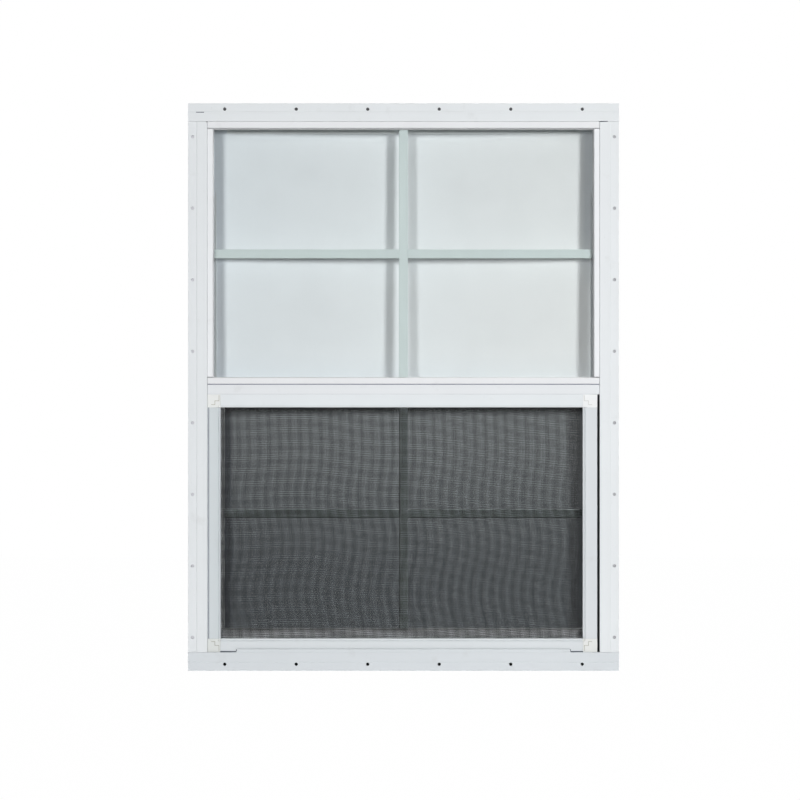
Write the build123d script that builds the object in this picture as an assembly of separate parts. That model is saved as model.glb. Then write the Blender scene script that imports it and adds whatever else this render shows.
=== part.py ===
"""Single-hung flange window: nail fin frame, fixed upper light, sliding lower sash and half screen.

Millimetres. +X is right as seen from outdoors, +Y goes indoors, +Z is up. The origin is on the back
of the sill's nail fin, in the middle of its width and on its line of nail holes.
"""
import os

from build123d import *

# Flange seen from outdoors
overall_width = 482.0
overall_height = 635.0
fin_thickness = 1.4
fin_width = 9.5          # outer edge to the step
step_run = 0.6           # slope of the step between the fin and the face band
face_proud = 0.6         # face band in front of the fin
flange_reach = 16.0      # outer edge to the outside of the body that goes into the wall

# Nail holes, in rows centred on each side
nail_hole = 3.7
nail_pitch = 80.0
nail_end = 36.0          # least distance from the end of the side to the last hole
head_nail_inset = 6.6
jamb_nail_inset = 5.1
sill_nail_inset = 7.4

# Body of the frame extrusions
wall = 1.4
head_lip = 2.9           # face band over the glazing and screen pocket, beyond the web
jamb_lip = 4.1
sill_lip = 3.4
screen_track = 9.0       # clear depth between the face lip and the divider leg
divider_wall = 1.3
divider_leg = 7.1        # height of each leg above the web
sash_track = 19.9        # clear depth between the divider leg and the indoor leg
indoor_leg = 8.6
sill_divider_leg = 5.6
sill_dam = 12.6
edge_round = 0.4         # softened outer edges of the extrusions
joint_gap = 0.3          # hairline left at the frame's square-cut joints
fit = 0.2                # clearance where pieces slip together
corner_nick = 1.6        # chamfered nick at the top inner corner of each jamb face

# Upstand of the sill in front of the screen, with a weep notch at each end
upstand = 3.6
upstand_setback = 0.3
weep_notch = 33.6        # inner edge of the jamb face to the inner end of the notch
weep_slope = 1.2
screen_rib = 1.1         # ribs that carry the screen, above the web
screen_rib_wall = 1.2
screen_rib_inset = 1.6

# Meeting rail
rail_level = 309.2       # bottom of the flange to the bottom of the rail
rail_height = 11.1
rail_setback = 0.8       # front of the rail behind the front of the face bands
rail_shelf_drop = 2.5    # glazing shelf below the top of the rail's front wall
rail_upstand = 5.7       # rear wall of the rail above its front wall
interlock_depth = 2.7
interlock_wall = 1.2
interlock_height = 4.8

# Fixed upper light
glass_thickness = 3.2
tape_thickness = 0.6
tape_margin = 0.5
glass_edge_gap = 1.2
bead_setback = 0.8       # front of the beads behind the front of the face bands
bead_wall = 1.2
bead_slope = 0.7         # lean of the bead's sight wall from its front corner to the glass
bead_hook = 1.6
bead_gap = 0.25
bead_round = 0.5
head_bead = 6.95         # width of each bead's front
jamb_bead = 5.75
meeting_bead = 6.9
meeting_bead_gap = 0.8   # open joint between the meeting rail and its bead

# Flat glazing bars
bar_width = 10.0
bar_thickness = 1.8
bar_round = 0.6
bar_end_gap = 0.3
bar_lap_gap = 0.05

# Lower sash
sash_side_gap = 1.2
sash_front_gap = 3.7
sash_back_gap = 1.2
sash_foot_gap = 2.0      # filled by the seal under the bottom rail
sash_wall = 1.3
sash_tube = 12.4         # hollow part of a rail, across its width
sash_stile_tube = 8.6    # hollow part of a stile
sash_stile = 17.2        # full width of a stile, with the legs of its glazing pocket
sash_bottom_rail = 22.4
sash_top_rail = 20.3
sash_rise = 4.7          # top of the sash above the top of the meeting rail
glazing_pocket = 8.5
gasket_skin = 0.1        # gasket's clearance in its pocket
gasket_seat = 0.3
gasket_lip = 0.8         # edge of the gasket that shows past the legs
glass_bite = 7.0         # glass edge to the leg edge
lift_gap = 3.0           # lift ledge above the sill's dam
lift_depth = 12.8
lift_upstand = 4.6
lift_end_gap = 6.0
latch_length = 32.0
latch_height = 7.0
latch_inset = 5.0        # end of the lift ledge to the latch housing
latch_play = 0.5
bolt_diameter = 4.0
bolt_hole = 5.0
thumb_length = 9.0
thumb_height = 2.4
thumb_groove = 0.6       # grip grooves across the thumb piece
thumb_groove_pitch = 1.5
pile_width = 4.4
seal_width = 8.0
seal_end_gap = 2.4

# Half screen
screen_left_tuck = 1.6   # behind the left jamb's lip
screen_right_gap = 2.4   # open beside the right jamb's lip
screen_top_tuck = 1.5    # behind the meeting rail's front wall
screen_foot = 1.0        # feet of the bottom corner keys below the bottom rail
screen_front_gap = 0.8
screen_depth = 7.9
screen_rail = 15.9
screen_tube = 11.0
screen_wall = 0.9
screen_lip = 2.4         # stepped lip at the rail's inner edge
screen_step = 1.2
mesh_setback = 4.8
mesh_thickness = 0.3
spline_proud = 1.0
spline_play = 0.2
key_tongue = 18.0
key_play = 0.15
key_groove = 0.6
key_groove_depth = 0.4
key_stairs = [(6.0, 12.9), (9.8, 12.9), (9.8, 8.6), (14.4, 8.6), (14.4, 2.7)]

# Levels worked out from the sizes above: X and Z from the flange, Y from its back face
half = overall_width / 2
bottom = -sill_nail_inset
top = bottom + overall_height
middle = (bottom + top) / 2
web_in = flange_reach + wall
head_face = web_in + head_lip
jamb_face = web_in + jamb_lip
sill_face = web_in + sill_lip
divider_in = web_in + divider_leg
indoor_in = web_in + indoor_leg
face_front = -(fin_thickness + face_proud)
lip_back = face_front + wall
divider_front = lip_back + screen_track
divider_back = divider_front + divider_wall
indoor_front = divider_back + sash_track
frame_back = indoor_front + wall

rail_front = face_front + rail_setback
rail_front_back = rail_front + wall
rail_bottom = bottom + rail_level
rail_top = rail_bottom + rail_height
shelf_top = rail_top - rail_shelf_drop
rail_back_top = rail_top + rail_upstand
groove_back = divider_back + interlock_depth - interlock_wall

bead_front = face_front + bead_setback
tape_front = divider_front - tape_thickness
glass_front = tape_front - glass_thickness
head_sight = head_face + bead_gap + head_bead + bead_slope
meeting_bead_start = rail_top + meeting_bead_gap
meeting_sight = meeting_bead_start + meeting_bead + bead_slope

sash_front = divider_back + sash_front_gap
sash_back = indoor_front - sash_back_gap
sash_reach = web_in + sash_side_gap
stile_in = sash_reach + sash_stile
stile_tube_in = sash_reach + sash_stile_tube
sash_bottom = bottom + web_in + sash_foot_gap
sash_top = rail_top + sash_rise
bottom_rail_top = sash_bottom + sash_bottom_rail
top_rail_bottom = sash_top - sash_top_rail
bottom_tube_top = sash_bottom + sash_tube
top_tube_bottom = sash_top - sash_tube
pocket_front = sash_front + sash_wall
pocket_back = pocket_front + glazing_pocket
rear_leg_back = pocket_back + sash_wall
sash_glass_front = pocket_front + (glazing_pocket - glass_thickness) / 2
sash_glass_back = sash_glass_front + glass_thickness
lift_bottom = bottom + web_in + sill_dam + lift_gap
lift_top = lift_bottom + sash_wall
lift_back = rear_leg_back + lift_depth
lift_end = half - indoor_in - lift_end_gap
bolt_y = rear_leg_back + latch_play + bolt_diameter / 2
bolt_z = lift_top + latch_height / 2

screen_left = -half + jamb_face - screen_left_tuck
screen_right = half - jamb_face - screen_right_gap
screen_bottom = bottom + web_in + screen_rib + screen_foot
screen_top = rail_bottom + screen_top_tuck
screen_front = lip_back + screen_front_gap
screen_back = screen_front + screen_depth
screen_step_back = screen_front + screen_step
mesh_front = screen_front + mesh_setback
groove_floor = screen_step_back + screen_wall


def block(x0, x1, y0, y1, z0, z1):
    return Pos((x0 + x1) / 2, (y0 + y1) / 2, (z0 + z1) / 2) * Box(x1 - x0, y1 - y0, z1 - z0)


def section(points, rounded=(), radius=0.0):
    """Face of a closed outline, with the named corners rounded."""
    face = Polygon(*points, align=None)
    corners = [v for v in face.vertices()
               if any(abs(v.X - p[0]) + abs(v.Y - p[1]) < 1e-6 for p in rounded)]
    return fillet(corners, radius) if corners else face


def along_z(face, z0, z1):
    return extrude(Pos(0, 0, z0) * face, amount=z1 - z0, dir=(0, 0, 1))


def along_x(face, x0, x1):
    """Extrude a face drawn in (Y, Z) along X."""
    return extrude(Plane.YZ.offset(x0) * face, amount=x1 - x0, dir=(1, 0, 0))


def turned_up(points, level):
    """Outline given as (reach, y) turned into (y, z), reaching up from a level."""
    return [(y, level + reach) for reach, y in points]


def turned_down(points, level):
    """Outline given as (reach, y) turned into (y, z), reaching down from a level."""
    return [(y, level - reach) for reach, y in points]


def ring(outer, inner, y0, y1):
    """Rectangular frame between two (x0, x1, z0, z1) outlines, from y0 to y1."""
    ox0, ox1, oz0, oz1 = outer
    ix0, ix1, iz0, iz1 = inner
    return block(ox0, ox1, y0, y1, oz0, oz1) - block(ix0, ix1, y0, y1, iz0, iz1)


def inset(outline, by):
    x0, x1, z0, z1 = outline
    return x0 + by, x1 - by, z0 + by, z1 - by


def nail_row(length):
    """Places of a row of nails along a side, evenly to both sides of its middle."""
    spaces = int((length - 2 * nail_end) / nail_pitch)
    return [(i - spaces / 2) * nail_pitch for i in range(spaces + 1)]


def nail_holes(places):
    depth = fin_thickness + face_proud
    hole = Rot(90, 0, 0) * Cylinder(nail_hole / 2, 4 * depth)
    return [Pos(x, 0, z) * hole for x, z in places]


def channel(face_width):
    """Section of the head and jambs as (reach inwards, y): fin, face band, web and two legs."""
    return [
        (0, 0), (0, -fin_thickness), (fin_width, -fin_thickness),
        (fin_width + step_run, face_front), (face_width, face_front), (face_width, lip_back),
        (web_in, lip_back), (web_in, divider_front), (divider_in, divider_front),
        (divider_in, divider_back), (web_in, divider_back), (web_in, indoor_front),
        (indoor_in, indoor_front), (indoor_in, frame_back), (flange_reach, frame_back),
        (flange_reach, 0),
    ]


def channel_edges(face_width):
    """Corners of that section that are softened: fin edge, lip edge and the tips of the legs."""
    return [(0, -fin_thickness), (face_width, face_front), (divider_in, divider_front),
            (divider_in, divider_back), (indoor_in, indoor_front), (indoor_in, frame_back)]


def clear_corners(member, leg_level, sign):
    """Cut a head's or sill's body back to the jambs: its web to the body, its legs between theirs."""
    far = half + wall
    deep = frame_back + wall
    edge = half - flange_reach
    legs = half - indoor_in - fit
    z0, z1 = sorted((leg_level, leg_level + sign * overall_height))
    low, high = bottom - wall, top + wall
    for side in (-1, 1):
        x0, x1 = sorted((side * edge, side * far))
        member -= block(x0, x1, 0, deep, low, high)
        x0, x1 = sorted((side * legs, side * far))
        member -= block(x0, x1, lip_back, deep, z0, z1)
    return member


def make_head():
    soft = turned_down(channel_edges(head_face), top)
    head = along_x(section(turned_down(channel(head_face), top), soft, edge_round), -half, half)
    head = clear_corners(head, top - web_in, -1)
    places = [(x, top - head_nail_inset) for x in nail_row(overall_width)]
    return head - nail_holes(places)


def make_sill():
    upstand_front = face_front + upstand_setback
    upstand_in = sill_face + upstand
    divider_top = web_in + sill_divider_leg
    dam_top = web_in + sill_dam
    outline = [
        (0, 0), (0, -fin_thickness), (fin_width, -fin_thickness),
        (fin_width + step_run, face_front), (sill_face, face_front),
        (sill_face + upstand_setback, upstand_front), (upstand_in, upstand_front),
        (upstand_in, lip_back), (web_in, lip_back), (web_in, divider_front),
        (divider_top, divider_front), (divider_top, divider_back), (web_in, divider_back),
        (web_in, indoor_front), (dam_top, indoor_front), (dam_top, frame_back),
        (flange_reach, frame_back), (flange_reach, 0),
    ]
    soft = [(0, -fin_thickness), (upstand_in, upstand_front), (divider_top, divider_front),
            (divider_top, divider_back), (dam_top, indoor_front), (dam_top, frame_back)]
    sill = along_x(section(turned_up(outline, bottom), turned_up(soft, bottom), edge_round), -half, half)
    floor = bottom + web_in
    for y0 in (screen_front + screen_rib_inset, screen_back - screen_rib_inset - screen_rib_wall):
        sill += block(-half, half, y0, y0 + screen_rib_wall, floor, floor + screen_rib)
    sill = clear_corners(sill, floor, 1)
    notch_x = half - jamb_face - weep_notch
    low, high = bottom + sill_face, bottom + upstand_in
    notch = section([(notch_x, high + wall), (notch_x, high), (notch_x + weep_slope, low),
                     (half + wall, low), (half + wall, high + wall)])
    ahead = -2 * face_front
    cut = extrude(Plane.XZ.offset(ahead) * notch, amount=ahead + lip_back + fit, dir=(0, 1, 0))
    sill -= [cut, mirror(cut, about=Plane.YZ)]
    places = [(x, bottom + sill_nail_inset) for x in nail_row(overall_width)]
    return sill - nail_holes(places)


def make_left_jamb():
    soft = [(-half + reach, y) for reach, y in channel_edges(jamb_face)]
    face = section([(-half + reach, y) for reach, y in channel(jamb_face)], soft, edge_round)
    low, high = bottom + web_in, top - web_in
    jamb = along_z(face, low, high)
    cope = lip_back + fit
    outside, inside = -half - wall, -half + overall_width
    face_low = bottom + sill_face + joint_gap
    face_high = top - head_face - joint_gap
    jamb -= block(outside, inside, 2 * face_front, cope, low - wall, face_low)
    jamb -= block(outside, inside, 2 * face_front, cope, face_high, high + wall)
    jamb -= block(outside, -half + flange_reach, cope, -face_front, low - wall, face_low)
    jamb -= block(outside, -half + flange_reach, cope, -face_front, face_high, high + wall)
    corner = -half + jamb_face
    nick = Plane.XZ * section([(corner - corner_nick, face_high), (corner, face_high - corner_nick),
                               (corner + corner_nick, face_high + corner_nick)])
    jamb -= extrude(nick, amount=-2 * face_front, dir=(0, -1, 0))
    bolt = Pos(-half + flange_reach, bolt_y, bolt_z) * (Rot(0, 90, 0) * Cylinder(bolt_hole / 2, 4 * wall))
    places = [(-half + jamb_nail_inset, middle + z) for z in nail_row(overall_height)]
    return jamb - nail_holes(places) - bolt


def make_meeting_rail():
    hook_back = divider_back + interlock_depth
    outline = [
        (rail_front, rail_bottom), (rail_front_back, rail_bottom), (rail_front_back, shelf_top - wall),
        (divider_front, shelf_top - wall), (divider_front, rail_bottom),
        (hook_back, rail_bottom), (hook_back, rail_bottom + interlock_height),
        (groove_back, rail_bottom + interlock_height), (groove_back, rail_bottom + interlock_wall),
        (divider_back, rail_bottom + interlock_wall), (divider_back, rail_back_top),
        (divider_front, rail_back_top), (divider_front, shelf_top), (rail_front_back, shelf_top),
        (rail_front_back, rail_top), (rail_front, rail_top),
    ]
    soft = [(rail_front, rail_bottom), (rail_front, rail_top)]
    end = half - web_in - fit
    rail = along_x(section(outline, soft, bead_round), -end, end)
    low, high = rail_bottom - wall, rail_back_top + wall
    for side in (-1, 1):
        x0, x1 = sorted((side * (half - jamb_face - joint_gap), side * half))
        rail -= block(x0, x1, rail_front - wall, lip_back + fit, low, high)
        x0, x1 = sorted((side * (half - divider_in - fit), side * half))
        rail -= block(x0, x1, divider_front - fit, indoor_front, low, high)
    return rail


def bead_outline(start, width, hook_front):
    """Snap-in bead as (reach, y): front wall, sloped sight wall, back leg and a hook behind the lip."""
    front = start + width
    sight = front + bead_slope
    inner_front = bead_front + bead_wall
    lean = bead_slope * (inner_front - bead_front) / (glass_front - bead_front)
    hook_back = hook_front + bead_wall
    return [
        (start, bead_front), (front, bead_front), (sight, glass_front), (sight - bead_wall, glass_front),
        (front + lean - bead_wall, inner_front), (start + bead_wall, inner_front),
        (start + bead_wall, hook_back), (start - bead_hook, hook_back), (start - bead_hook, hook_front),
        (start, hook_front),
    ]


def make_beads():
    hook = lip_back + bead_gap
    edge = half - jamb_face - bead_gap
    head = turned_down(bead_outline(head_face + bead_gap, head_bead, hook), top)
    meeting = turned_up(bead_outline(meeting_bead_start, meeting_bead, rail_front_back + bead_gap), 0)
    jamb = [(-half + reach, y) for reach, y in bead_outline(jamb_face + bead_gap, jamb_bead, hook)]
    low, high = meeting_sight + joint_gap, top - head_sight - joint_gap
    left = along_z(section(jamb, jamb[1:2], bead_round), low, high)
    return {
        "head_bead": along_x(section(head, head[1:2], bead_round), -edge, edge),
        "meeting_bead": along_x(section(meeting, meeting[1:2], bead_round), -edge, edge),
        "left_bead": left,
        "right_bead": mirror(left, about=Plane.YZ),
    }


def make_upper_light():
    edge = half - web_in - glass_edge_gap
    pane = (-edge, edge, shelf_top + joint_gap, top - web_in - glass_edge_gap)
    legs = (-half + divider_in, half - divider_in, rail_back_top, top - divider_in)
    level = (meeting_sight + top - head_sight) / 2
    upright, cross = make_bars(inset(legs, bar_end_gap), tape_front, level)
    tape = ring(inset(pane, tape_margin), inset(legs, -tape_margin), tape_front, divider_front)
    return {
        "upper_glass": block(pane[0], pane[1], glass_front, tape_front, pane[2], pane[3]),
        "upper_glazing_tape": tape,
        "upper_vertical_bar": upright,
        "upper_horizontal_bar": cross,
    }


def bar_face(across, y0):
    """Section of a flat bar, its two edges on the glass side rounded."""
    y1 = y0 + bar_thickness
    x0, x1 = across - bar_width / 2, across + bar_width / 2
    return section([(x0, y0), (x1, y0), (x1, y1), (x0, y1)], [(x0, y0), (x1, y0)], bar_round)


def make_bars(opening, glass_back, level):
    """Upright and cross bar on the indoor face of the glass, half-lapped where they cross."""
    x0, x1, z0, z1 = opening
    y0 = glass_back + bar_lap_gap
    y1 = y0 + bar_thickness
    lap = y0 + bar_thickness / 2
    reach = bar_width / 2 + bar_lap_gap
    upright = along_z(bar_face(0, y0), z0, z1)
    upright -= block(-bar_width, bar_width, lap, y1 + wall, level - reach, level + reach)
    flat = [(y0, level - bar_width / 2), (y1, level - bar_width / 2),
            (y1, level + bar_width / 2), (y0, level + bar_width / 2)]
    cross = along_x(section(flat, [flat[0], flat[3]], bar_round), x0, x1)
    cross -= block(-reach, reach, y0 - wall, lap + bar_lap_gap, level - bar_width, level + bar_width)
    return upright, cross


def sash_tube_with_legs(start, tube_edge, leg_edge):
    """Sash member as (reach, y) faces: a hollow tube and the two legs of its glazing pocket."""
    outline = [
        (start, sash_front), (leg_edge, sash_front), (leg_edge, pocket_front), (tube_edge, pocket_front),
        (tube_edge, pocket_back), (leg_edge, pocket_back), (leg_edge, rear_leg_back),
        (tube_edge, rear_leg_back), (tube_edge, sash_back), (start, sash_back),
    ]
    low, high = sorted((start, tube_edge))
    hollow = [(low + sash_wall, pocket_front), (high - sash_wall, pocket_front),
              (high - sash_wall, sash_back - sash_wall), (low + sash_wall, sash_back - sash_wall)]
    soft = [(leg_edge, sash_front), (leg_edge, rear_leg_back), (tube_edge, sash_back), (start, sash_back)]
    return outline, hollow, soft


def make_sash_bottom_rail():
    outline, hollow, soft = sash_tube_with_legs(sash_bottom, bottom_tube_top, bottom_rail_top)
    end = half - sash_reach
    face = section(turned_up(outline, 0), turned_up(soft, 0), edge_round) - section(turned_up(hollow, 0))
    rail = along_x(face, -end, end)
    lift = [
        (rear_leg_back, lift_bottom), (lift_back, lift_bottom), (lift_back, lift_top + lift_upstand),
        (lift_back - sash_wall, lift_top + lift_upstand), (lift_back - sash_wall, lift_top),
        (rear_leg_back, lift_top),
    ]
    return rail + along_x(section(lift, lift[1:4], bead_round), -lift_end, lift_end)


def make_sash_top_rail():
    outline, hollow, soft = sash_tube_with_legs(sash_top, top_tube_bottom, top_rail_bottom)
    end = half - sash_reach
    face = section(turned_up(outline, 0), turned_up(soft, 0), edge_round) - section(turned_up(hollow, 0))
    rail = along_x(face, -end, end)
    y0, y1 = divider_back + joint_gap, groove_back - joint_gap
    z0 = rail_bottom + interlock_wall + 2 * joint_gap
    z1 = rail_bottom + interlock_height + interlock_depth
    hook = [(y0, z0), (y1, z0), (y1, z1), (sash_front, z1),
            (sash_front, z1 + interlock_wall), (y0, z1 + interlock_wall)]
    hook_end = half - divider_in - 2 * interlock_wall
    return rail + along_x(section(hook), -hook_end, hook_end)


def make_sash_left_stile():
    shapes = sash_tube_with_legs(sash_reach, stile_tube_in, stile_in)
    outline, hollow, soft = [[(-half + reach, y) for reach, y in shape] for shape in shapes]
    stile = along_z(section(outline, soft, edge_round) - section(hollow), bottom_rail_top, top_rail_bottom)
    x0, x1 = -half + sash_reach, -half + stile_tube_in
    y0, y1 = pocket_front + fit, pocket_back - fit
    for z0, z1 in ((bottom_tube_top + fit, bottom_rail_top), (top_rail_bottom, top_tube_bottom - fit)):
        stile += block(x0, x1, y0, y1, z0, z1)
        stile -= block(x0 + sash_wall, x1 - sash_wall, y0 + sash_wall, y1 - sash_wall, z0, z1)
    return stile


def make_sash_glazing():
    pocket = (-half + stile_tube_in, half - stile_tube_in, bottom_tube_top, top_tube_bottom)
    legs = (-half + stile_in, half - stile_in, bottom_rail_top, top_rail_bottom)
    pane = inset(legs, -glass_bite)
    glass = block(pane[0], pane[1], sash_glass_front, sash_glass_back, pane[2], pane[3])
    gasket = ring(inset(pocket, gasket_seat), inset(legs, gasket_lip),
                  pocket_front + gasket_skin, pocket_back - gasket_skin) - glass
    level = (bottom_rail_top + top_rail_bottom) / 2
    upright, cross = make_bars(inset(legs, gasket_lip + bar_end_gap), sash_glass_back, level)
    return {
        "sash_glass": glass,
        "sash_gasket": gasket,
        "sash_vertical_bar": upright,
        "sash_horizontal_bar": cross,
    }


def make_sash_left_latch():
    x0 = -lift_end + latch_inset
    x1 = x0 + latch_length
    y0, y1 = rear_leg_back + latch_play, lift_back - sash_wall - latch_play
    z1 = lift_top + latch_height
    housing_round = 2 * bead_round
    housing = block(x0, x1, y0, y1, lift_top, z1)
    housing = fillet(housing.edges().filter_by(Axis.X).group_by(Axis.Z)[-1], housing_round)
    mid = (x0 + x1) / 2
    ridge = z1 + thumb_height
    thumb = section([(mid - thumb_length / 2, z1), (mid + thumb_length / 2, z1),
                     (mid + thumb_length / 4, ridge), (mid - thumb_length / 4, ridge)])
    latch = housing + extrude(Plane.XZ.offset(-y0 - housing_round) * thumb,
                              amount=y1 - y0 - 2 * housing_round, dir=(0, 1, 0))
    for step in (-1, 0, 1):
        x = mid + step * thumb_groove_pitch
        latch -= block(x - thumb_groove / 2, x + thumb_groove / 2, y0, y1, ridge - thumb_groove, ridge)
    tip = -half + flange_reach + wall / 2
    bolt = Rot(0, 90, 0) * Cylinder(bolt_diameter / 2, x0 - tip)
    return latch + Pos((tip + x0) / 2, bolt_y, bolt_z) * bolt


def make_seals():
    x0 = -half + sash_reach + sash_wall
    pile = block(x0, x0 + pile_width, divider_back + fit, sash_front,
                 bottom_rail_top + sash_wall, top_rail_bottom - sash_wall)
    seal_y = (sash_front + sash_back) / 2
    end = half - web_in - seal_end_gap
    return {
        "left_pile_strip": pile,
        "right_pile_strip": mirror(pile, about=Plane.YZ),
        "sash_bottom_seal": block(-end, end, seal_y - seal_width / 2, seal_y + seal_width / 2,
                                  bottom + web_in, sash_bottom),
    }


def screen_rail_section():
    """Roll-formed rail as (inset, y): tube, stepped front lip and spline groove open indoors."""
    lip_at = screen_rail - screen_lip
    outline = [
        (0, screen_front), (lip_at, screen_front), (lip_at, screen_step_back),
        (screen_rail, screen_step_back), (screen_rail, mesh_front), (screen_rail - screen_wall, mesh_front),
        (screen_rail - screen_wall, groove_floor), (screen_tube, groove_floor),
        (screen_tube, screen_back), (0, screen_back),
    ]
    hollow = [
        (screen_wall, screen_front + screen_wall), (screen_tube - screen_wall, screen_front + screen_wall),
        (screen_tube - screen_wall, screen_back - screen_wall), (screen_wall, screen_back - screen_wall),
    ]
    return outline, hollow


def screen_member(place, run, start, end):
    outline, hollow = screen_rail_section()
    soft = [place([outline[0]])[0], place([outline[1]])[0]]
    face = section(place(outline), soft, key_groove_depth) - section(place(hollow))
    return run(face, start + key_play, end - key_play)


def make_screen_frame():
    x0, x1 = screen_left + screen_rail, screen_right - screen_rail
    z0, z1 = screen_bottom + screen_rail, screen_top - screen_rail

    def from_left(points):
        return [(screen_left + reach, y) for reach, y in points]

    def from_right(points):
        return [(screen_right - reach, y) for reach, y in points]

    return {
        "screen_bottom_rail": screen_member(lambda pts: turned_up(pts, screen_bottom), along_x, x0, x1),
        "screen_top_rail": screen_member(lambda pts: turned_down(pts, screen_top), along_x, x0, x1),
        "screen_left_stile": screen_member(from_left, along_z, z0, z1),
        "screen_right_stile": screen_member(from_right, along_z, z0, z1),
    }


def make_corner_key(side, rise, foot):
    """Moulded corner, drawn from its outer corner: side and rise point towards the screen's middle."""
    def at(u0, u1, y0, y1, v0, v1):
        x = screen_left if side > 0 else screen_right
        z = screen_bottom if rise > 0 else screen_top
        xs = sorted((x + side * u0, x + side * u1))
        zs = sorted((z + rise * v0, z + rise * v1))
        return block(xs[0], xs[1], y0, y1, zs[0], zs[1])

    s, tube = screen_rail, screen_tube
    wall_in = s - screen_wall
    tongue_low, tongue_high = screen_wall + key_play, tube - screen_wall - key_play
    y0, y1 = screen_front + screen_wall + key_play, screen_back - screen_wall - key_play
    key = at(0, s, screen_front, screen_back, -foot, s)
    key -= at(tube, s, groove_floor, screen_back, tube, s)
    key += at(wall_in, s, groove_floor, mesh_front, wall_in, s)
    key -= at(s - screen_lip, s, screen_front, screen_step_back, s - screen_lip, s)
    key += [at(s, s + key_tongue, y0, y1, tongue_low, tongue_high),
            at(tongue_low, tongue_high, y0, y1, s, s + key_tongue)]
    g = key_groove / 2
    for (u0, v0), (u1, v1) in zip(key_stairs, key_stairs[1:]):
        key -= at(min(u0, u1) - g, max(u0, u1) + g,
                  screen_front - key_groove, screen_front + key_groove_depth,
                  min(v0, v1) - g, max(v0, v1) + g)
    return key


def make_screen_fill():
    outline = (screen_left, screen_right, screen_bottom, screen_top)
    wall_in = screen_rail - screen_wall
    mesh_edge = inset(outline, wall_in - spline_play / 2)
    mesh_back = mesh_front + mesh_thickness
    mesh = block(mesh_edge[0], mesh_edge[1], mesh_front, mesh_back, mesh_edge[2], mesh_edge[3])
    skirt_edge = inset(outline, wall_in - spline_play / 2 - mesh_thickness)
    mesh += ring(skirt_edge, mesh_edge, groove_floor + spline_play, mesh_back)
    spline = ring(inset(outline, screen_tube + spline_play),
                  inset(outline, wall_in - spline_play - mesh_thickness),
                  groove_floor + spline_play, mesh_front + spline_proud)
    return {"screen_mesh": mesh, "screen_spline": spline}


def make_window():
    left_jamb = make_left_jamb()
    left_stile = make_sash_left_stile()
    left_latch = make_sash_left_latch()
    pieces = {
        "head": make_head(),
        "sill": make_sill(),
        "left_jamb": left_jamb,
        "right_jamb": mirror(left_jamb, about=Plane.YZ),
        "meeting_rail": make_meeting_rail(),
        "sash_bottom_rail": make_sash_bottom_rail(),
        "sash_top_rail": make_sash_top_rail(),
        "sash_left_stile": left_stile,
        "sash_right_stile": mirror(left_stile, about=Plane.YZ),
        "sash_left_latch": left_latch,
        "sash_right_latch": mirror(left_latch, about=Plane.YZ),
        "screen_key_bottom_left": make_corner_key(1, 1, screen_foot),
        "screen_key_bottom_right": make_corner_key(-1, 1, screen_foot),
        "screen_key_top_left": make_corner_key(1, -1, 0),
        "screen_key_top_right": make_corner_key(-1, -1, 0),
    }
    for group in (make_beads(), make_upper_light(), make_sash_glazing(), make_seals(),
                  make_screen_frame(), make_screen_fill()):
        pieces.update(group)
    return pieces


os.makedirs("parts", exist_ok=True)
for name, piece in make_window().items():
    export_step(piece, f"parts/{name}.step")
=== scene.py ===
import math
import random

import bmesh
import bpy
from mathutils import Matrix, Vector


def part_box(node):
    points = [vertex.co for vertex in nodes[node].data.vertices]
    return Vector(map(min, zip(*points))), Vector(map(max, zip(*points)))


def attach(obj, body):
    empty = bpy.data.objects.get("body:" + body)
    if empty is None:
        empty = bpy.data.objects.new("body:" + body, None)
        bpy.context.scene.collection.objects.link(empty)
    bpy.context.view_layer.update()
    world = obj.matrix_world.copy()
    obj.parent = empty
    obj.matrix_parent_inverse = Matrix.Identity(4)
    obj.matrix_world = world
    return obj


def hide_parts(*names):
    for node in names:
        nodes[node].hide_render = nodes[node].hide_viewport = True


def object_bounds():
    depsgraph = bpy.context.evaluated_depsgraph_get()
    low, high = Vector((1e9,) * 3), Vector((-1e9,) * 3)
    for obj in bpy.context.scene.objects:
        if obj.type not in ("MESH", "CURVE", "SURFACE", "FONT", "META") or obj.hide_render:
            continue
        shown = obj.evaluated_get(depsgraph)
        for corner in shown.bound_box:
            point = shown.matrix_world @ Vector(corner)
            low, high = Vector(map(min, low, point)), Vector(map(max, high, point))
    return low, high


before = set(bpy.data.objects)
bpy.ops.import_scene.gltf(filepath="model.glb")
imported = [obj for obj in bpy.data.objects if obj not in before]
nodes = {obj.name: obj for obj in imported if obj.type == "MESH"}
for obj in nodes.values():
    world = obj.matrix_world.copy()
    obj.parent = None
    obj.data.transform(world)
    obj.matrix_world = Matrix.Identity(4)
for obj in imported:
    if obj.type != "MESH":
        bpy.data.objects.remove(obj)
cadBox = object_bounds()
scene = bpy.context.scene
scene.view_settings.view_transform = "Standard"
mm = 0.001
print("frame loaded:", len(nodes), "nodes")


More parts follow.
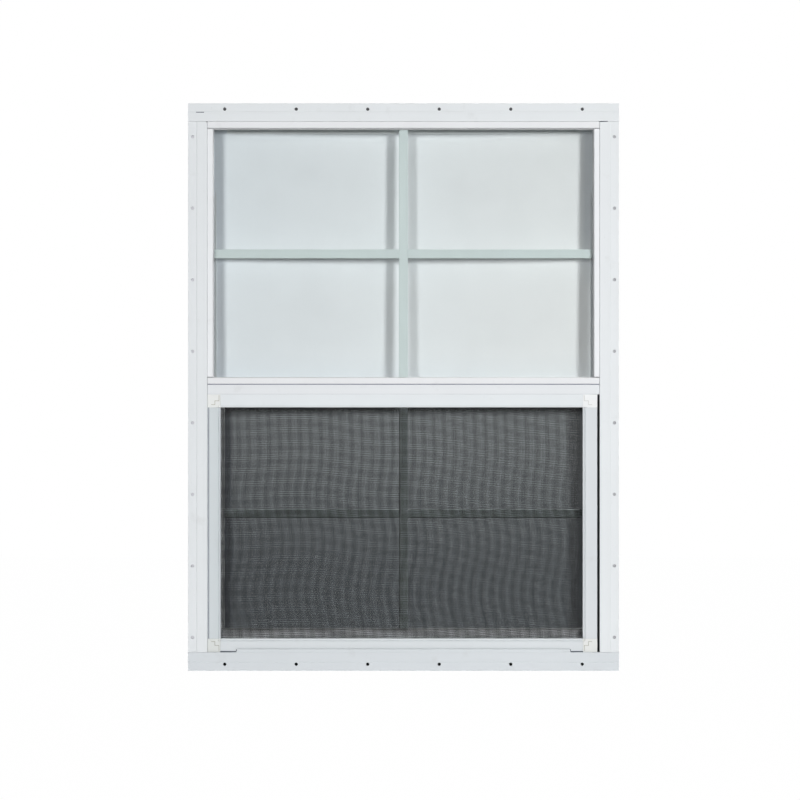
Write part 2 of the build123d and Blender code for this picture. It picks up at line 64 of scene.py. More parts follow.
class Wire:
    # a socket that takes part in plain sums
    def __init__(self, tree, socket):
        self.tree = tree
        self.socket = socket

    def node(self, kind, settings, links, out=0):
        made = self.tree.nodes.new("ShaderNode" + kind)
        for name, value in settings.items():
            if name == "stops":
                fillRamp(made.color_ramp, value)
            else:
                setattr(made, name, value)
        for name, value in links.items():
            if isinstance(value, Wire):
                self.tree.links.new(value.socket, made.inputs[name])
            else:
                made.inputs[name].default_value = value
        return Wire(self.tree, made.outputs[out]) if made.outputs else None

    def sum(self, operation, first, second):
        return self.node("Math", {"operation": operation}, {0: first, 1: second})

    def __add__(self, other):
        return self.sum("ADD", self, other)

    def __sub__(self, other):
        return self.sum("SUBTRACT", self, other)

    def __rsub__(self, other):
        return self.sum("SUBTRACT", other, self)

    def __mul__(self, other):
        return self.sum("MULTIPLY", self, other)

    def __gt__(self, other):
        return self.sum("GREATER_THAN", self, other)

    def __lt__(self, other):
        return self.sum("LESS_THAN", self, other)

    def away(self, middle):
        off = self - middle
        return off.sum("ABSOLUTE", off, 0.0)

    def wave(self):
        return self.sum("COSINE", self, 0.0)

    def between(self, low, high):
        return (self > low) * (self < high)


def fillRamp(ramp, stops):
    while len(ramp.elements) < len(stops):
        ramp.elements.new(1.0)
    for element, (position, level) in zip(ramp.elements, stops):
        element.position = position
        element.color = (level, level, level, 1.0)


# small helpers for finishes

def startFinish(name):
    finish = bpy.data.materials.new(name)
    finish.use_nodes = True
    finish.node_tree.nodes.clear()
    place = finish.node_tree.nodes.new("ShaderNodeTexCoord")
    return finish, Wire(finish.node_tree, place.outputs["Object"])


def endFinish(at, sockets):
    shader = at.node("BsdfPrincipled", {}, sockets)
    at.node("OutputMaterial", {}, {"Surface": shader})


def axisOf(at, axis):
    return at.node("SeparateXYZ", {}, {"Vector": at}, axis)


def stretched(at, scale):
    return at.node("Mapping", {}, {"Vector": at, "Scale": scale})


def cloud(at, scale, detail=2.0, roughness=0.5):
    return at.node("TexNoise", {}, {"Vector": at, "Scale": scale, "Detail": detail, "Roughness": roughness})


def ramped(value, *stops):
    return value.node("ValToRGB", {"stops": stops}, {"Fac": value})


def graded(value, start, end, kind="LINEAR"):
    ends = {"Value": value, "From Min": start, "From Max": end}
    return value.node("MapRange", {"interpolation_type": kind}, ends)


def tinted(factor, low, high):
    return factor.node("Mix", {"data_type": "RGBA"}, {0: factor, 6: low, 7: high}, 2)


def deepened(factor, colour, by):
    settings = {"data_type": "RGBA", "blend_type": "MULTIPLY"}
    return factor.node("Mix", settings, {0: factor, 6: colour, 7: by}, 2)


def bumped(height, strength, depth):
    return height.node("Bump", {}, {"Height": height, "Strength": strength, "Distance": depth}, "Normal")


def rgb(red, green, blue):
    return (red, green, blue, 1.0)


def shade(colour, by):
    return (colour[0] * by, colour[1] * by, colour[2] * by, 1.0)


# Camera square to the front, as far back as a person stands to photograph a window

cameraSet = {
    "distance": 1.10,
    "aimX": -3.9 * mm,
    "aimZ": 295.6 * mm,
    "viewWidth": 894.4 * mm,
    "sensor": 36.0,
}


def makeCamera():
    data = bpy.data.cameras.new("camera")
    data.sensor_width = cameraSet["sensor"]
    data.lens = cameraSet["sensor"] * cameraSet["distance"] / cameraSet["viewWidth"]
    data.clip_start = 0.01
    camera = bpy.data.objects.new("camera", data)
    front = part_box("head")[0].y
    camera.location = (cameraSet["aimX"], front - cameraSet["distance"], cameraSet["aimZ"])
    camera.rotation_euler = (math.pi / 2, 0, 0)
    scene.collection.objects.link(camera)
    scene.camera = camera


makeCamera()
print("camera placed")


# Studio: white surroundings, two soft boxes in front, one above and one behind

studio = {
    "ambient": rgb(0.16, 0.165, 0.17),
    "frontGloss": 0.15,         # how white the side in front of the window is in reflections
    "glossTurn": 0.3,           # how far to each side that goes over into the white behind it
    "floorLevel": -0.60,
    "floorSize": 9.0,
    "floorWhite": 0.995,
    "floorLit": rgb(0.9, 0.9, 0.9),
}
lamps = {
    "right box": {"azimuth": 25.2, "elevation": 3.7, "distance": 2.1, "size": (0.28, 0.40), "power": 20.9},
    "left box": {"azimuth": -18.8, "elevation": 3.7, "distance": 2.1, "size": (0.28, 0.40), "power": 13.1},
    "top box": {"azimuth": 10.0, "elevation": 66.0, "distance": 1.6, "size": (0.8, 0.8), "power": 1.6},
    "rear box": {"azimuth": 160.0, "elevation": 35.0, "distance": 2.2, "size": (1.2, 1.2), "power": 24.0},
}
glossLamps = ("top box", "rear box")


def whiteFor(tree, back):
    # 1 for what the eye sees straight, in gloss and through glass, and 0 for light
    path = tree.nodes.new("ShaderNodeLightPath")
    camera, gloss, through, bounces = [
        Wire(tree, path.outputs[kind])
        for kind in ("Is Camera Ray", "Is Glossy Ray", "Is Transmission Ray", "Diffuse Depth")
    ]
    turn = {"From Min": -studio["glossTurn"], "From Max": studio["glossTurn"]}
    ends = {"To Min": studio["frontGloss"], "To Max": 1.0}
    gloss = gloss * back.node("MapRange", {}, {"Value": back, **turn, **ends})
    seen = camera.sum("MAXIMUM", camera.sum("MAXIMUM", camera, through), gloss)
    return seen * (bounces < 0.5)


def makeWorld():
    world = bpy.data.worlds.new("studio")
    world.use_nodes = True
    world.node_tree.nodes.clear()
    way = world.node_tree.nodes.new("ShaderNodeTexCoord")
    seen = whiteFor(world.node_tree, axisOf(Wire(world.node_tree, way.outputs["Generated"]), "Y"))
    light = seen.node("Background", {}, {"Color": studio["ambient"], "Strength": 1.0})
    white = seen.node("Background", {}, {"Color": rgb(1, 1, 1), "Strength": 1.0})
    both = seen.node("MixShader", {}, {0: seen, 1: light, 2: white})
    seen.node("OutputWorld", {}, {"Surface": both})
    scene.world = world


def makeLamp(name, lamp):
    data = bpy.data.lights.new(name, "AREA")
    data.shape = "RECTANGLE"
    data.size, data.size_y = lamp["size"]
    data.energy = lamp["power"]
    box = bpy.data.objects.new(name, data)
    middle = (cadBox[0] + cadBox[1]) / 2
    turn, rise = math.radians(lamp["azimuth"]), math.radians(lamp["elevation"])
    away = Vector((math.sin(turn) * math.cos(rise), -math.cos(turn) * math.cos(rise), math.sin(rise)))
    box.location = middle + away * lamp["distance"]
    box.rotation_euler = away.to_track_quat("Z", "Y").to_euler()
    box.visible_camera = False
    box.visible_transmission = False
    box.visible_glossy = name in glossLamps
    scene.collection.objects.link(box)


def panelMesh(width, height, pieces):
    bm = bmesh.new()
    bmesh.ops.create_grid(bm, x_segments=pieces, y_segments=1, size=0.5)
    bmesh.ops.scale(bm, vec=(width, height, 1), verts=bm.verts)
    return bm


def meshObject(name, bm, finish):
    mesh = bpy.data.meshes.new(name)
    bm.to_mesh(mesh)
    bm.free()
    mesh.materials.append(finish)
    piece = bpy.data.objects.new(name, mesh)
    scene.collection.objects.link(piece)
    return piece


def makeStage():
    floorFinish, at = startFinish("floor")
    lit = at.node("BsdfDiffuse", {}, {"Color": studio["floorLit"]})
    white = at.node("Emission", {}, {"Color": rgb(1, 1, 1), "Strength": 1.0})
    seen = whiteFor(floorFinish.node_tree, axisOf(at, "Y")) * studio["floorWhite"]
    at.node("OutputMaterial", {}, {"Surface": at.node("MixShader", {}, {0: seen, 1: lit, 2: white})})
    bm = panelMesh(studio["floorSize"], studio["floorSize"], 1)
    bmesh.ops.translate(bm, vec=(0, 0, studio["floorLevel"]), verts=bm.verts)
    meshObject("floor", bm, floorFinish)


# Stage cards close behind the panes. The window's own soft shadows fall on the upper one, which also carries
# painted shade and a painted glow; the lower one is painted light throughout, with painted shadows

cardStrips = 24
upperCard = {
    "topDepth": 38 * mm,
    "footDepth": 44 * mm,
    "sag": 11 * mm,             # how much nearer it is beside the jambs than in the middle
    "past": 20 * mm,            # how far it reaches past the window, and below the pane
    "pastFoot": 8 * mm,
    "halfFrom": 490 * mm,       # where its upper half goes over into the lower one
    "halfTo": 415 * mm,
    # tone across the pane, lighter to the right as painted light
    "left": rgb(0.90, 0.945, 0.98),
    "right": rgb(0.985, 1.0, 1.0),
    "edge": rgb(0.73, 0.745, 0.77),
    "edgeFrom": 20 * mm,        # painted shade beside the jambs, in from the sides of the pane
    "edgeTo": 13 * mm,
    "top": rgb(0.86, 0.87, 0.87),
    "topFrom": 18 * mm,         # painted shade under the head, down from the pane's top
    "topTo": 4 * mm,
    "rail": rgb(0.91, 0.92, 0.93),
    "railFrom": 40 * mm,        # painted shade above the meeting rail, up from the pane's foot
    "railTo": 14 * mm,
    "glow": rgb(0.008, 0.010, 0.013),       # painted glow, light given off by the card itself: upper half, lower half, under the head
    "glowLow": rgb(0.027, 0.024, 0.024),
    "glowHead": rgb(0.11, 0.11, 0.11),
    "headFrom": 4 * mm,         # up from the lower edge of the head's bead
    "headTo": 7 * mm,
}
# The lower card glows as painted light, brighter under the meeting rail than at its foot, with painted
# shadows along its rims
lowerCard = {
    "ahead": 3 * mm,            # in front of the back of the sash stiles
    "inset": 4 * mm,            # in from the foot and top of the sash's pane
    "riseFrom": 46 * mm,
    "riseTo": 30 * mm,
    "underRail": rgb(0.270, 0.282, 0.290),
    "foot": rgb(0.140, 0.151, 0.161),
    "lean": rgb(0.825, 0.825, 0.835),       # painted shade: darker at the left, against the right
    "rimLeft": rgb(0.34, 0.345, 0.375),
    "rimLeftFrom": 13 * mm,     # rims are painted shadows of the screen's frame, in from the edges of the mesh
    "rimLeftTo": 7 * mm,
    "rimRight": rgb(0.43, 0.42, 0.42),
    "rimRightFrom": 16 * mm,
    "rimRightTo": 10 * mm,
    "rimTop": rgb(0.06, 0.06, 0.06),
    "rimTopFrom": 12 * mm,
    "rimTopTo": 4 * mm,
}


def cardPiece(name, finish, low, high, sag):
    # leans from its foot to its top, sags to the sides, and shows only through glass
    bm = panelMesh(high.x - low.x, high.z - low.z, cardStrips)
    bmesh.ops.rotate(bm, matrix=Matrix.Rotation(math.pi / 2, 3, "X"), verts=bm.verts)
    bmesh.ops.translate(bm, vec=((low.x + high.x) / 2, 0, (low.z + high.z) / 2), verts=bm.verts)
    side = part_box("upper_glass")[1].x
    for vert in bm.verts:
        share = (vert.co.z - low.z) / (high.z - low.z)
        near = sag * min(abs(vert.co.x) / side, 1) ** 2
        vert.co.y = high.y + (low.y - high.y) * share - near
    card = meshObject(name, bm, finish)
    for face in card.data.polygons:
        face.use_smooth = True
    card.visible_camera = False
    card.visible_shadow = False
    card.visible_glossy = False
    card.visible_diffuse = False


def makeUpperCard():
    tone, (low, high) = upperCard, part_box("upper_glass")
    finish, at = startFinish("upper card")
    x, z = axisOf(at, "X"), axisOf(at, "Z")
    side, top, foot, bead = high.x, high.z, low.z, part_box("head_bead")[0].z
    lower = graded(z, tone["halfFrom"], tone["halfTo"])
    edge = graded(x.away(0.0), side - tone["edgeFrom"], side - tone["edgeTo"]) * (1.0 - lower * (x > 0.0))
    # painted light and shade: lighter to the right, darker beside the jambs, under the head and above the
    # meeting rail
    colour = tinted(graded(x, -side, side), tone["left"], tone["right"])
    colour = deepened(edge, colour, tone["edge"])
    colour = deepened(graded(z, top - tone["topFrom"], top - tone["topTo"]), colour, tone["top"])
    colour = deepened(graded(z, foot + tone["railFrom"], foot + tone["railTo"]), colour, tone["rail"])
    # painted glow: the card gives off light of its own, most in its lower half and under the head
    glow = tinted(lower, tone["glow"], tone["glowLow"])
    glow = tinted(graded(z, bead + tone["headFrom"], bead + tone["headTo"]), glow, tone["glowHead"])
    endFinish(at, {"Base Color": colour, "Roughness": 0.9, "Specular IOR Level": 0.1,
                   "Emission Color": glow, "Emission Strength": 1.0})
    past = tone["past"]
    cardPiece("upper_card", finish, Vector((cadBox[0].x - past, tone["topDepth"], foot - tone["pastFoot"])),
              Vector((cadBox[1].x + past, tone["footDepth"], cadBox[1].z + past)), tone["sag"])


def makeLowerCard():
    tone, (low, high), opening = lowerCard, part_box("sash_glass"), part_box("screen_mesh")
    finish, at = startFinish("lower card")
    x, z = axisOf(at, "X"), axisOf(at, "Z")
    left, right, top = opening[0].x, opening[1].x, opening[1].z
    # painted light: the card glows, brighter towards the meeting rail, with painted shadows at the left,
    # right and top rims
    rise = graded(z, low.z + tone["riseFrom"], high.z - tone["riseTo"], "SMOOTHSTEP")
    colour = tinted(rise, tone["foot"], tone["underRail"])
    colour = deepened(graded(x, right, left), colour, tone["lean"])
    rimLeft = graded(x, left + tone["rimLeftFrom"], left + tone["rimLeftTo"])
    rimRight = graded(x, right - tone["rimRightFrom"], right - tone["rimRightTo"])
    rimTop = graded(z, top - tone["rimTopFrom"], top - tone["rimTopTo"])
    colour = deepened(rimLeft, colour, tone["rimLeft"])
    colour = deepened(rimRight, colour, tone["rimRight"])
    colour = deepened(rimTop, colour, tone["rimTop"])
    endFinish(at, {"Base Color": rgb(0, 0, 0), "Roughness": 1.0, "Specular IOR Level": 0.0,
                   "Emission Color": colour, "Emission Strength": 1.0})
    depth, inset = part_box("sash_left_stile")[1].y - tone["ahead"], tone["inset"]
    cardPiece("lower_card", finish, Vector((-high.x, depth, low.z + inset)),
              Vector((high.x, depth, high.z - inset)), 0.0)


# Painted shade behind the nail holes: dark discs just behind the flange stand for the shade behind a flange
# that lies on something

holeShadeDiscs = {
    "radius": 2.0 * mm,
    "behind": 0.4 * mm,
    "segments": 24,
    "blue": 1.05,
    "sill": 0.003,
    "head": 0.10,
    "left": 0.64,
    "right": 0.46,
}
nails = {"pitch": 80 * mm, "head": 6.6 * mm, "jamb": 5.1 * mm, "acrossCount": 6, "upCount": 8}


def nailPlaces(part):
    low, high = cadBox
    upright = part in ("left", "right")
    count = nails["upCount"] if upright else nails["acrossCount"]
    steps = [(i - (count - 1) / 2) * nails["pitch"] for i in range(count)]
    if upright:
        x = high.x - nails["jamb"] if part == "right" else low.x + nails["jamb"]
        return [(x, (low.z + high.z) / 2 + step) for step in steps]
    z = high.z - nails["head"] if part == "head" else 0.0
    return [(step, z) for step in steps]


def makeHoleShadeDiscs():
    for part in ("sill", "head", "left", "right"):
        # each disc is painted shade, darkest under the sill
        finish, at = startFinish("behind " + part)
        level = holeShadeDiscs[part]
        endFinish(at, {"Base Color": rgb(level, level, level * holeShadeDiscs["blue"]), "Roughness": 0.9})
        bm = bmesh.new()
        for x, z in nailPlaces(part):
            circle = {"cap_ends": True, "segments": holeShadeDiscs["segments"], "radius": holeShadeDiscs["radius"]}
            disc = bmesh.ops.create_circle(bm, **circle)["verts"]
            bmesh.ops.rotate(bm, matrix=Matrix.Rotation(math.pi / 2, 3, "X"), verts=disc)
            bmesh.ops.translate(bm, vec=(x, holeShadeDiscs["behind"], z), verts=disc)
        meshObject("behind_" + part, bm, finish)


makeWorld()
for name, lamp in lamps.items():
    makeLamp(name, lamp)
makeStage()
makeUpperCard()
makeLowerCard()
makeHoleShadeDiscs()
scene.cycles.caustics_refractive = False
print("studio lit")


# Painted aluminium: satin enamel over extrusions, with faint die lines, specks and handling marks

marks = {
    "finWide": 9.8 * mm,        # outer edge to the step of the face band, where a thin line gets a painted highlight
    "finLine": 0.28 * mm,
    "finHighlight": rgb(1.03, 1.03, 1.03),
    "pocketFrom": 0.3 * mm,     # depth of the screen's pocket, where light hardly reaches
    "pocketTo": 8.45 * mm,
    "pocketReach": 16.7 * mm,
    "pocketTone": rgb(0.10, 0.10, 0.105),
    "trackPast": 2 * mm,        # how far behind the sash its track reaches; the track gets painted shade, and painted light on the head
    "jointLow": 312.3 * mm,     # painted shade in the open joint between the meeting rail and its bead
    "jointHigh": 313.7 * mm,
    "jointDepth": -0.9 * mm,
    "jointShade": rgb(0.20, 0.22, 0.32),
    "holeFrom": -1.3 * mm,      # depth of the nail holes' walls, which get painted shade
    "holeTo": -0.1 * mm,
    "finClear": 1.0 * mm,
    "gapShade": rgb(0.14, 0.15, 0.19),
    "gaps": (                   # painted shade in open spots where head and jambs meet: left, right, foot and top
        (-232 * mm, -223 * mm, 616.9 * mm, 617.8 * mm),
        (220.4 * mm, 228.5 * mm, 606.7 * mm, 607.6 * mm),
    ),
    "seam": 0.9 * mm,           # painted shade along the seam under the meeting rail, and on the screen rail's rolled edge
    "seamShade": rgb(0.90, 0.90, 0.91),
    "rolled": 2.0 * mm,
    "rolledEdgeShade": rgb(0.92, 0.92, 0.92),
    "rolledShade": rgb(0.87, 0.87, 0.88),
    "weepLine": 14.4 * mm,      # shade in the weep notches, below the screen's bottom rail
    "weepTick": 16.2 * mm,
    "weepEnd": 186.6 * mm,
    "weepTone": rgb(0.12, 0.13, 0.17),
    "lipEdge": 219.5 * mm,      # inner edge of the jambs' face, where a painted shadow line lies on the screen
    "lipGap": 0.9 * mm,
    "lipLine": 0.9 * mm,
    "lipShade": rgb(0.28, 0.29, 0.34),
    "barShadeSide": 0.3 * mm,       # painted shade on the glass side of the sash bars
    "barShade": rgb(0.50, 0.50, 0.50),
    "barShadowLine": 1.3 * mm,       # a painted shadow line below and at the left of each bar
    "barShadowTone": rgb(0.25, 0.25, 0.25),
}


def frameMarks(at, colour, paint):
    low, high = cadBox
    middle, half = (low + high) / 2, (high - low) / 2
    x, y, z = axisOf(at, "X"), axisOf(at, "Y"), axisOf(at, "Z")
    out, up = x.away(middle.x), z.away(middle.z)
    off, reach = (out, half.x) if paint["across"] == "X" else (up, half.z)
    # painted highlight along the step of the face band
    line = off.away(reach - marks["finWide"]) < marks["finLine"]
    clear = (out < half.x - marks["finClear"]) * (up < half.z - marks["finClear"])
    # painted shade on the nail holes' walls
    hole = clear * (off > reach - marks["finWide"]) * y.between(marks["holeFrom"], marks["holeTo"])
    inside = (out < half.x - marks["pocketReach"]) * (up < half.z - marks["pocketReach"])
    pocket = inside * y.between(marks["pocketFrom"], marks["pocketTo"]) * (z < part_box("meeting_rail")[0].z)
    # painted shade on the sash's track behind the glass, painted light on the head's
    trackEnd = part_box("sash_left_stile")[1].y + marks["trackPast"]
    track = inside * y.between(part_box("upper_vertical_bar")[1].y, trackEnd)
    # painted shade in the open spots where head and jambs meet
    for left, right, foot, top in marks["gaps"]:
        colour = deepened(x.between(left, right) * z.between(foot, top), colour, marks["gapShade"])
    colour = deepened(hole, deepened(line, colour, marks["finHighlight"]), paint["holes"])
    return deepened(track, deepened(pocket, colour, marks["pocketTone"]), paint["track"])


def jointMarks(at, colour, paint):
    # painted shade in the open joint under the meeting bead
    joint = axisOf(at, "Z").between(marks["jointLow"], marks["jointHigh"])
    return deepened(joint * (axisOf(at, "Y") > marks["jointDepth"]), colour, marks["jointShade"])


def lipMarks(at, colour, paint):
    x, start = axisOf(at, "X"), marks["lipGap"] - marks["lipEdge"]
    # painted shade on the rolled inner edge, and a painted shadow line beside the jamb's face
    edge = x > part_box("screen_left_stile")[1].x - marks["rolled"]
    colour = deepened(edge, colour, marks["rolledShade"])
    return deepened(x.between(start, start + marks["lipLine"]), colour, marks["lipShade"])


def stileMarks(at, colour, paint):
    # painted shade on the rolled inner edge
    edge = axisOf(at, "X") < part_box("screen_right_stile")[0].x + marks["rolled"]
    return deepened(edge, colour, marks["rolledEdgeShade"])


def railMarks(at, colour, paint):
    # painted shade along the meeting rail's lower edge
    seam = axisOf(at, "Z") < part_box("meeting_rail")[0].z + marks["seam"]
    return deepened(seam, jointMarks(at, colour, paint), marks["seamShade"])


def rolledMarks(at, colour, paint):
    # painted shade on the rolled lower edge
    edge = axisOf(at, "Z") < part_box("screen_top_rail")[0].z + marks["rolled"]
    return deepened(edge, colour, marks["rolledEdgeShade"])


def weepMarks(at, colour, paint):
    z = axisOf(at, "Z")
    end = axisOf(at, "X").away(0.0).away(marks["weepEnd"]) < marks["lipLine"]
    shadow = z.sum("MAXIMUM", z < marks["weepLine"], end * (z < marks["weepTick"]))
    return deepened(shadow, colour, marks["weepTone"])


def barShadeMarks(at, colour, paint):
    axis = paint["across"]
    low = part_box("sash_vertical_bar" if axis == "X" else "sash_horizontal_bar")[0]
    # painted shadow line along the lower or left edge, and painted shade on the glass side
    edge = axisOf(at, axis) < (low.x if axis == "X" else low.z) + marks["barShadowLine"]
    colour = deepened(edge, colour, marks["barShadowTone"])
    return deepened(axisOf(at, "Y") < low.y + marks["barShadeSide"], colour, marks["barShade"])


def plainPaint(at, colour, paint):
    return colour


enamel = {
    "roughness": 0.34,
    "toneScale": 11.0,
    "toneDark": 0.965,
    "toneLight": 1.03,
    "lineScale": 1500.0,        # die lines along an extrusion
    "lineStretch": 0.02,
    "peelScale": 1300.0,
    "bump": 0.10,
    "bumpDepth": 0.05 * mm,
    "smudgeScale": 46.0,
    "speckScale": 420.0,
    "dirt": 0.5,
    "dirtColour": rgb(0.42, 0.42, 0.40),
}


def paintFinish(name, paint):
    finish, at = startFinish(name)
    long = enamel["lineStretch"]
    along = stretched(at, (1, 1, long) if paint["across"] == "X" else (long, 1, 1))
    tone = cloud(at, enamel["toneScale"], 3.0)
    lines = cloud(along, enamel["lineScale"], 1.0)
    peel = cloud(at, enamel["peelScale"], 1.0)
    smudge = ramped(cloud(at, enamel["smudgeScale"], 5.0, 0.62), (0.60, 0.0), (0.78, 1.0)) * enamel["dirt"]
    speck = ramped(cloud(at, enamel["speckScale"], 2.0, 0.6), (0.74, 0.0), (0.78, 1.0)) * enamel["dirt"]
    dark, light = shade(paint["colour"], enamel["toneDark"]), shade(paint["colour"], enamel["toneLight"])
    colour = tinted(tone, dark, light)
    colour = tinted(smudge * 0.35 + speck * 0.5, colour, enamel["dirtColour"])
    height = peel * 0.6 + lines * 0.4
    endFinish(at, {
        "Base Color": paint["marks"](at, colour, paint),
        "Roughness": tone * 0.12 + smudge * 0.2 + enamel["roughness"],
        "Normal": bumped(height, enamel["bump"], enamel["bumpDepth"]),
    })
    return finish


# Each part's tone is set apart to match how light falls on it, so these are lit and shaded copies of one
# white enamel: painted light and shade; 'holes' is painted shade on the nail holes' walls, and 'track'
# painted shade on the sash's track behind the glass, painted light on the head's
paints = {
    "headPaint": {"colour": rgb(0.76, 0.785, 0.80), "across": "Z", "marks": frameMarks,
                  "holes": rgb(0.3, 0.3, 0.31), "track": rgb(1.22, 1.22, 1.2)},
    "sillPaint": {"colour": rgb(0.67, 0.703, 0.727), "across": "Z", "marks": frameMarks,
                  "holes": rgb(0.04, 0.04, 0.04), "track": rgb(0.74, 0.75, 0.76)},
    "jambPaint": {"colour": rgb(0.768, 0.793, 0.807), "across": "X", "marks": frameMarks,
                  "holes": rgb(0.8, 0.8, 0.82), "track": rgb(0.74, 0.75, 0.76)},
    "beadPaintAcross": {"colour": rgb(0.793, 0.802, 0.817), "across": "Z", "marks": jointMarks},
    "meetingPaint": {"colour": rgb(0.766, 0.785, 0.804), "across": "Z", "marks": railMarks},
    "beadPaintUpright": {"colour": rgb(0.837, 0.85, 0.868), "across": "X", "marks": plainPaint},
    "sashPaintAcross": {"colour": rgb(0.87, 0.89, 0.915), "across": "Z", "marks": plainPaint},
    "sashPaintUpright": {"colour": rgb(0.84, 0.86, 0.875), "across": "X", "marks": plainPaint},
    "screenTopPaint": {"colour": rgb(0.76, 0.79, 0.808), "across": "Z", "marks": rolledMarks},
    "screenBottomPaint": {"colour": rgb(0.687, 0.72, 0.738), "across": "Z", "marks": weepMarks},
    "screenLeftPaint": {"colour": rgb(0.627, 0.668, 0.687), "across": "X", "marks": lipMarks},
    "screenRightPaint": {"colour": rgb(0.684, 0.711, 0.73), "across": "X", "marks": stileMarks},
    "barPaintAcross": {"colour": rgb(0.755, 0.845, 0.84), "across": "Z", "marks": plainPaint},
    "barPaintUpright": {"colour": rgb(0.775, 0.865, 0.86), "across": "X", "marks": plainPaint},
    "sashBarPaintAcross": {"colour": rgb(0.75, 0.85, 0.845), "across": "Z", "marks": barShadeMarks},
    "sashBarPaintUpright": {"colour": rgb(0.75, 0.85, 0.845), "across": "X", "marks": barShadeMarks},
}
for name, paint in paints.items():
    paints[name] = paintFinish(name, paint)


glass = {
    "clear": rgb(0.93, 0.965, 0.96),
    "filmy": rgb(0.90, 0.935, 0.93),
    "filmScale": 24.0,
    "haze": 0.02,
    "ior": 1.5,
}


def glassFinish():
    finish, at = startFinish("clearGlass")
    film = ramped(cloud(at, glass["filmScale"], 4.0, 0.6), (0.45, 0.0), (0.85, 1.0))
    endFinish(at, {
        "Base Color": tinted(film, glass["clear"], glass["filmy"]),
        "Roughness": film * glass["haze"],
        "Transmission Weight": 1.0,
        "IOR": glass["ior"],
    })
    return finish


def mouldedFinish(name, colour, grooveColour, grooveFrom, grooveTo):
    # moulded plastic, darker between two depths
    finish, at = startFinish(name)
    groove = axisOf(at, "Y").between(grooveFrom, grooveTo)
    tone = cloud(at, 90.0, 3.0)
    skin = cloud(at, 2600.0, 1.0)
    body = tinted(tone, shade(colour, 0.96), shade(colour, 1.03))
    endFinish(at, {
        "Base Color": tinted(groove, body, grooveColour),
        "Roughness": tone * 0.15 + 0.36,
        "Normal": bumped(skin, 0.15, 0.03 * mm),
    })
    return finish


def softFinish(name, soft):
    # rubber, foam, vinyl and pile: matt, with a grain of the right size
    finish, at = startFinish(name)
    grain = cloud(stretched(at, soft["stretch"]), soft["grain"], 3.0, 0.6)
    tone = cloud(at, 35.0, 2.0)
    mixed = grain * 0.6 + tone * 0.4
    endFinish(at, {
        "Base Color": tinted(mixed, shade(soft["colour"], 0.7), shade(soft["colour"], 1.25)),
        "Roughness": grain * 0.2 + soft["roughness"],
        "Normal": bumped(grain, soft["bump"], 0.2 * mm),
    })
    return finish


even = (1, 1, 1)
softs = {
    "glazingFoam": {"colour": rgb(0.80, 0.81, 0.81), "grain": 900.0, "stretch": even,
                    "roughness": 0.75, "bump": 0.6},
    "glazingVinyl": {"colour": rgb(0.46, 0.47, 0.47), "grain": 500.0, "stretch": even,
                     "roughness": 0.45, "bump": 0.15},
    "wovenPile": {"colour": rgb(0.16, 0.16, 0.165), "grain": 2600.0, "stretch": (1, 0.2, 1),
                  "roughness": 0.78, "bump": 0.9},
    "splineRubber": {"colour": rgb(0.04, 0.04, 0.042), "grain": 700.0, "stretch": even,
                     "roughness": 0.6, "bump": 0.3},
}
for name, soft in softs.items():
    softs[name] = softFinish(name, soft)

# each key's tone is set to how light falls on its corner: lit and shaded copies of one plastic, painted
# light and shade
keys = {
    "screen_key_top_left": {"colour": rgb(0.795, 0.805, 0.79), "groove": rgb(0.46, 0.44, 0.38)},
    "screen_key_top_right": {"colour": rgb(0.85, 0.86, 0.862), "groove": rgb(0.62, 0.62, 0.60)},
    "screen_key_bottom_left": {"colour": rgb(0.717, 0.735, 0.716), "groove": rgb(0.40, 0.39, 0.34)},
    "screen_key_bottom_right": {"colour": rgb(0.775, 0.784, 0.765), "groove": rgb(0.44, 0.43, 0.38)},
}
grooves = {"from": 0.2 * mm, "to": 0.6 * mm}     # depth of the stairs in a corner key
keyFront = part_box("screen_key_top_left")[0].y
for name, key in keys.items():
    keys[name] = mouldedFinish(name, key["colour"], key["groove"],
                               keyFront + grooves["from"], keyFront + grooves["to"])
latch = {"colour": rgb(0.80, 0.81, 0.80), "groove": rgb(0.6, 0.6, 0.58), "from": 0.0, "to": 1.0 * mm}
latchPlastic = mouldedFinish("latchPlastic", latch["colour"], latch["groove"], latch["from"], latch["to"])
clearGlass = glassFinish()

finishOf = {
    "head": paints["headPaint"],
    "sill": paints["sillPaint"],
    "left_jamb": paints["jambPaint"],
    "right_jamb": paints["jambPaint"],
    "meeting_rail": paints["meetingPaint"],
    "head_bead": paints["beadPaintAcross"],
    "meeting_bead": paints["beadPaintAcross"],
    "left_bead": paints["beadPaintUpright"],
    "right_bead": paints["beadPaintUpright"],
    "upper_glass": clearGlass,
    "sash_glass": clearGlass,
    "upper_glazing_tape": softs["glazingFoam"],
    "upper_vertical_bar": paints["barPaintUpright"],
    "upper_horizontal_bar": paints["barPaintAcross"],
    "sash_vertical_bar": paints["sashBarPaintUpright"],
    "sash_horizontal_bar": paints["sashBarPaintAcross"],
    "sash_top_rail": paints["sashPaintAcross"],
    "sash_bottom_rail": paints["sashPaintAcross"],
    "sash_left_stile": paints["sashPaintUpright"],
    "sash_right_stile": paints["sashPaintUpright"],
    "sash_gasket": softs["glazingVinyl"],
    "sash_left_latch": latchPlastic,
    "sash_right_latch": latchPlastic,
    "left_pile_strip": softs["wovenPile"],
    "right_pile_strip": softs["wovenPile"],
    "sash_bottom_seal": softs["splineRubber"],
    "screen_top_rail": paints["screenTopPaint"],
    "screen_bottom_rail": paints["screenBottomPaint"],
    "screen_left_stile": paints["screenLeftPaint"],
    "screen_right_stile": paints["screenRightPaint"],
    **keys,
    "screen_spline": softs["splineRubber"],
    "screen_mesh": softs["splineRubber"],
}
for name, finish in finishOf.items():
    nodes[name].data.materials.clear()
    nodes[name].data.materials.append(finish)
